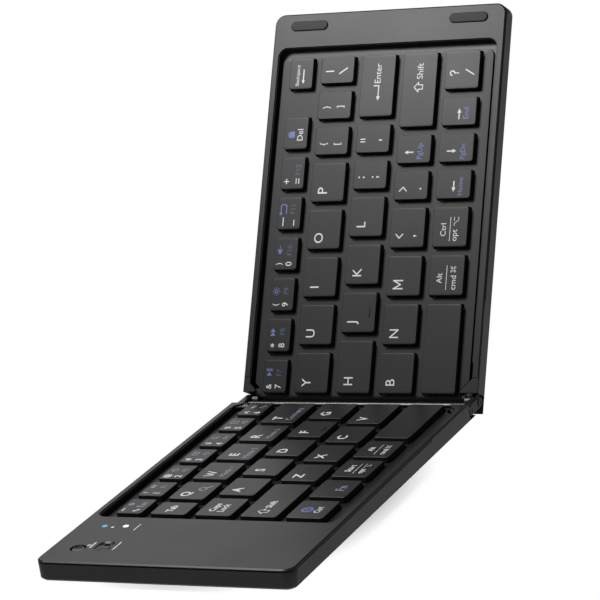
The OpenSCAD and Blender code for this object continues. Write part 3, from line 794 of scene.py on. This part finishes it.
# What each key bears, in the order of keySpots: sign or word, its middle from the key's left and top, its
# height and its ink.
legends = {
    "base": (
        numbers([("^", "6", "mute", "F6"), ("%", "5", "page", "F5"), ("$", "4", "find", "F4"),
                 ("#", "3", "envelope", "F3"), ("@", "2", "house", "F2"), ("!", "1", "back", "F1")],
                (2.5, 2.0), (2.4, 6.2), (7.9, 2.2), (8.2, 6.1), (pale, pale), (1.0, 1.0, 1.0, 0.9, 0.6, 0.15))
        + [
            [("~", 2.8, 1.6, 2.6, white), ("`", 2.6, 6.7, 1.2, white),
             ("Esc", 7.7, 6.4, 2.5, pale), ("ring", 7.6, 2.2, 1.0, pale)],
            [("T", 4.1, 5.5, 3.5, white), ("Connect", 8.4, 10.1, 2.4, pale)],
            [("R", 4.2, 5.4, 3.5, white), ("Mode 3", 6.9, 10.6, 2.1, pale)],
            [("E", 4.6, 5.4, 3.5, white), ("Mode 2", 6.4, 10.6, 2.1, pale)],
            [("W", 4.5, 5.2, 1.0, white), ("Mode 1", 6.8, 10.3, 2.1, pale)],
            [("Q", 4.2, 5.2, 3.4, white), ("find", 9.4, 9.6, 2.4, pale)],
            [("Tab", 4.7, 6.3, 2.5, white)],
        ]
        + letters("GFDSA", 4.4, 5.3)
        + [[("Caps", 6.8, 5.1, 2.3, white), ("Lock", 6.6, 8.2, 2.3, white)]]
        + letters("VCXZ", 4.3, 5.2)
        + [
            [("shift", 4.6, 7.0, 1.35, white), ("Shift", 10.6, 7.1, 2.2, white)],
            [],
            [("Alt", 7.2, 4.3, 2.0, white), ("line", 7.0, 7.1, 1.0, white),
             ("cmd", 5.0, 9.8, 2.0, white), ("clover", 9.6, 9.8, 1.0, white)],
            [("Start", 7.4, 4.3, 2.1, white), ("line", 7.2, 7.0, 1.0, white),
             ("opt", 5.2, 9.7, 2.0, white), ("option", 9.9, 9.7, 1.2, white)],
            [("Fn", 7.8, 9.0, 3.4, pale)],
            [("ring", 6.9, 5.1, 2.1, blue), ("Ctrl", 6.9, 9.2, 2.1, white)],
        ]
    ),
    "lid": (
        numbers([("&", "7", "play", "F7"), ("*", "8", "next", "F8"), ("(", "9", "sun", "F9"),
                 (")", "0", "softer", "F10")],
                (2.3, 2.65), (2.3, 6.4), (7.3, 2.45), (7.5, 6.4), (blue, dim), (0, 0, 0, 0))
        + [
            [("_", 3.0, 2.6, 1.0, white), ("-", 2.5, 7.1, 1.0, white),
             ("loop", 7.5, 2.6, 1.2, blue), ("F11", 7.7, 6.4, 1.9, dim)],
            [("+", 3.0, 2.6, 1.0, white), ("=", 3.1, 7.15, 1.0, white), ("F12", 7.5, 7.1, 2.0, dim)],
            [("lock", 5.6, 2.8, 1.6, blue), ("Del", 5.5, 6.6, 2.3, white)],
            [("Backspace", 5.4, 3.7, 1.35, white), ("long", 4.7, 5.9, 1.0, white)],
        ]
        + letters("Y", 3.8, 4.9) + letters("U", 4.2, 4.9) + letters("I", 3.6, 4.9) + letters("O", 4.2, 4.9)
        + letters("P", 4.3, 4.9, 3.8)
        + marks([("{", "[", 4.1, 3.8, 9.5), ("}", "]", 4.5, 3.8, 9.5), ("|", "\\", 4.7, 3.8, 9.4)], 2.4)
        + letters("H", 4.4, 4.9) + letters("J", 3.6, 4.9) + letters("KL", 4.5, 4.9)
        + marks([(":", ";", 4.4, 3.5, 9.3), ("\"", "'", 4.7, 2.9, 10.1)], 3.7)
        + [[("enter", 9.0, 7.5, 1.0, white), ("Enter", 16.6, 6.9, 2.4, white)]]
        + letters("BN", 4.0, 4.8) + letters("M", 4.2, 4.8)
        + marks([("<", ",", 4.3, 3.8, 10.1), (">", ".", 4.0, 3.8, 10.8)], 3.8)
        + [
            [("up", 4.1, 4.9, 1.0, white), ("PgUp", 4.4, 9.6, 2.0, blue)],
            [("shift", 15.1, 6.8, 1.2, white), ("Shift", 21.2, 7.0, 2.4, white)],
            [],
            [("Alt", 6.4, 4.1, 2.1, white), ("line", 6.6, 6.9, 1.0, white),
             ("cmd", 4.7, 9.6, 2.2, white), ("clover", 9.6, 9.4, 1.0, white)],
            [("Ctrl", 6.4, 4.2, 2.1, white), ("line", 6.6, 6.9, 1.0, white),
             ("opt", 4.3, 9.2, 2.2, white), ("option", 9.4, 9.2, 1.2, white)],
            [("left", 4.4, 7.0, 1.0, white), ("Home", 4.5, 9.6, 1.85, blue)],
            [("down", 4.1, 5.2, 1.0, white), ("PgDn", 3.8, 9.8, 1.9, blue)],
            [("right", 4.4, 7.0, 1.0, white), ("End", 4.5, 9.7, 2.1, blue)],
            [("?", 6.1, 3.8, 1.0, white), ("/", 6.3, 10.0, 1.0, white)],
        ]
    ),
}
# The marks beside the lamps and controls: sign, distance from the pin, y and height.
stripMarks = [
    ("dot", 120.4, 33.3, 1.0),
    ("dash", 119.8, 24.2, 0.8),
    ("link", 135.4, 32.8, 1.0),
    ("dash", 135.5, 23.4, 1.0),
]
legendLift = 0.015
strokeStep = 0.0004  # each stroke of a sign lies this much above the last
capHeight = 2 * max(y for x, y in textOutline("H", 0.0)[0])


def stamp(bm, item, u, y, height, top, slot, bold=0.0):
    # One sign or word, flat, with its middle at (u, y). Only white words are made bold.
    if item in icons:
        for index, shape in enumerate(icons[item]):
            level = top + strokeStep * index
            verts = [bm.verts.new((u + x * height, y + v * height, level)) for x, v in shape]
            bm.faces.new(verts).material_index = slot
        return
    points, faces = textOutline(item, bold if slot == white else 0.0)
    size = height / capHeight
    verts = [bm.verts.new((u + x * size, y + v * size, top)) for x, v in points]
    for face in faces:
        bm.faces.new([verts[i] for i in face]).material_index = slot


def printPiece(name, bm, half, rides):
    for face in bm.faces:
        face.normal_update()
        if face.normal.z < 0:
            face.normal_flip()
    newPiece(name, bm, halves[half]["place"], rides, inks)


def printKeys(half):
    groups = {}
    for (name, row, at, length), items in zip(keySpots(half), legends[half]):
        y, depth = rowPlace(row)
        edge = at if half == "lid" else -(at + length)
        for item, left, top, height, slot in items:
            groups.setdefault(name, []).append((item, edge + left, y + depth / 2 - top, height, slot))
    for name, items in groups.items():
        bm = bmesh.new()
        for item, u, y, height, slot in items:
            stamp(bm, item, u, y, height, capTop + legendLift, slot, halves[half]["bold"])
        printPiece(camelName(name) + "Print", bm, half, name)


def printStrip():
    bm = bmesh.new()
    for item, distance, y, height in stripMarks:
        stamp(bm, item, -distance, y, height, faceN + legendLift, white)
    printPiece("baseMarks", bm, "base", "base")


for half in halves:
    printKeys(half)
printStrip()
print("stage: legends printed")

hinge = {
    "length": (jointList["lid_hinge"]["pos_m"][0] - jointList["base_hinge"]["pos_m"][0]) * 1000,
    "outside": halfWidth - 0.4,
    "linkRound": 2.1,
    "linkThick": 2.8,
    "linkEdge": 0.3,
    # Radius of a pin and height over the outside of the links, from inside.
    "pin": [(1.0, -5.5), (1.0, 0.02), (1.7, 0.02), (1.7, 0.18), (1.55, 0.3), (0.9, 0.3), (0.75, 0.15),
            (0.2, 0.15)],
    "pinSteps": 28,
}
hingeStart = Vector(jointList["base_hinge"]["pos_m"])
hingePlace = Matrix.Translation(hingeStart) @ Matrix.Rotation(math.radians(90), 4, "X") @ scale


def hingeLinks():
    # Drawn lying down, from the inside of a link to its outside.
    bm = bmesh.new()
    outside = hinge["outside"]
    inside = outside - hinge["linkThick"]
    top = softTop(outside, hinge["linkEdge"])
    profile = [(inset, inside + outside - height) for inset, height in reversed(top)] + top
    for side in (-1, 1):
        rings = []
        for inset, height in profile:
            radius = hinge["linkRound"] - inset
            loop = arc(0, 0, radius, 90, 270, 12) + arc(hinge["length"], 0, radius, -90, 90, 12)
            rings.append((loop, side * height))
        skin(bm, rings)
    solidPiece("hingeLinks", bm, hingePlace, "spine", "linkSteel", "hinge_links")


def hingePins():
    bm = bmesh.new()
    for side in (-1, 1):
        for x in (0, hinge["length"]):
            skin(bm, [(circle(x, 0, radius, hinge["pinSteps"]), side * (hinge["outside"] + rise))
                      for radius, rise in hinge["pin"]])
    solidPiece("hingePins", bm, hingePlace, "spine", "darkSteel", "hinge_pins")


hingeLinks()
hingePins()
print("stage: hinge built")

nodeLooks = {
    # The covers' lighter colour is painted light on the side walls.
    "bottom_cover": "coverPlasticPaintedLight",
    "feet": "rubber",
    "screws": "pinSteel",
    "brackets": "darkSteel",
    "hinge_bar": "barSteel",
    "washers": "washerBrass",
    # The sheet's near-black colour is painted shade in the trench beside the deck.
    "switch_sheet": "sheetFilmPaintedShade",
    "back_plate": "foil",
    "domes": "domeRubber",
    "scissors": "scissorPlastic",
    "control_board": "boardMask",
    "battery": "foil",
    "charge_port": "rolledPlate",
    "power_switch_body": "switchPlastic",
    "pair_switch_body": "switchPlastic",
    "status_lamps": "lampLight",
}
# The nodes that get soft edges. Lengths in metres, angle in degrees.
softNodes = {
    "names": ("bottom_cover", "feet"),
    "merge": 0.000001,
    "width": 0.0002,
    "segments": 2,
    "angle": 40,
}


def softenNode(node):
    weld = node.modifiers.new("weld", "WELD")
    weld.merge_threshold = softNodes["merge"]
    soft = node.modifiers.new("soft", "BEVEL")
    soft.width = softNodes["width"]
    soft.segments = softNodes["segments"]
    soft.limit_method = "ANGLE"
    soft.angle_limit = math.radians(softNodes["angle"])
    soft.harden_normals = True


for name, node in frame["nodes"].items():
    for part, material in nodeLooks.items():
        if part in name:
            node.data.materials.clear()
            node.data.materials.append(look[material])
    if any(part in name for part in softNodes["names"]):
        softenNode(node)
print("stage: finishes set")

# From here on, places and sizes are in metres. Lens, sensor and the floor's cloud stay in millimetres.
view = {
    "place": (-0.88343, -0.47169, 0.35773),
    "look": (0.84611, 0.44899, -0.28724),
    "right": (0.42236, -0.8935, -0.1525),
    "down": (-0.32512, 0.00771, -0.94564),
    "lens": 180.24,
    "sensor": 36,
    "clip": 0.01,
}
floorLook = {
    "size": 0.3,
    "cloud": 60.0,
    "dark": (0.9, 0.9, 0.9),
    "light": (0.94, 0.94, 0.94),
    "rough": 0.7,
    "spread": 0.1,
    "middle": (0.045, 0, 0),
    "squeeze": (0.7, 1, 1),
    "fade": (0.03, 0.056),
}
sky = {"from": -0.1, "to": 0.05, "low": 0.5, "high": 0.15, "seen": (1, 1, 1)}
lights = {
    "above": {"place": (-0.145, 0.225, 0.58), "aim": (0.08, 0.0, 0.075), "size": (0.22, 0.22), "power": 4.6},
    "behind": {"place": (0.9, 0.44, 0.42), "aim": (0.0, 0.0, 0.0), "size": (0.7, 0.5), "power": 1.28},
}


def addCamera():
    camera = bpy.data.objects.new("camera", bpy.data.cameras.new("camera"))
    camera.data.lens = view["lens"]
    camera.data.sensor_width = view["sensor"]
    camera.data.clip_start = view["clip"]
    axes = Matrix((view["right"], -Vector(view["down"]), -Vector(view["look"]))).transposed()
    camera.matrix_world = Matrix.Translation(Vector(view["place"])) @ axes.to_4x4()
    bpy.context.collection.objects.link(camera)
    bpy.context.scene.camera = camera
    bpy.context.scene.view_settings.view_transform = "Standard"


def floorMaterial():
    # White and slightly cloudy. It fades out round the middle, where the shadow ends.
    graph = newGraph("floorWhite")
    cloud = graph.noise(floorLook["cloud"])
    moved = graph.vector("ADD", graph.place, floorLook["middle"])
    squeezed = graph.vector("MULTIPLY", moved, floorLook["squeeze"])
    reach = graph.vector("LENGTH", squeezed, output="Value")
    graph.set(
        Base_Color=graph.mix(cloud, floorLook["dark"], floorLook["light"]),
        Roughness=floorLook["rough"] + cloud * floorLook["spread"],
        Alpha=graph.ramp(reach, *floorLook["fade"], 1.0, 0.0),
    )
    return graph.owner


def addFloor():
    bm = bmesh.new()
    bmesh.ops.create_grid(bm, x_segments=1, y_segments=1, size=floorLook["size"])
    mesh = bpy.data.meshes.new("floor")
    bm.to_mesh(mesh)
    bm.free()
    mesh.materials.append(floorMaterial())
    floor = bpy.data.objects.new("floor", mesh)
    bpy.context.collection.objects.link(floor)


def addLights():
    for name, spec in lights.items():
        data = bpy.data.lights.new(name, "AREA")
        data.shape = "RECTANGLE"
        data.size, data.size_y = spec["size"]
        data.energy = spec["power"]
        lamp = bpy.data.objects.new(name, data)
        place = Vector(spec["place"])
        turn = (Vector(spec["aim"]) - place).to_track_quat("-Z", "Y")
        lamp.matrix_world = Matrix.Translation(place) @ turn.to_matrix().to_4x4()
        bpy.context.collection.objects.link(lamp)


def addWorld():
    # The camera sees plain white. The object is lit by a grey sky, brighter below the horizon.
    world = bpy.data.worlds.new("world")
    bpy.context.scene.world = world
    graph = Graph(world, "ShaderNodeBackground", "ShaderNodeOutputWorld", "Generated")
    grey = graph.ramp(graph.axis(2), sky["from"], sky["to"], sky["low"], sky["high"])
    seen = Wire(graph, graph.node("ShaderNodeLightPath").outputs["Is Camera Ray"])
    graph.set(Color=graph.mix(seen, grey, sky["seen"]))


addCamera()
addFloor()
addLights()
addWorld()
print("stage: camera and light set")
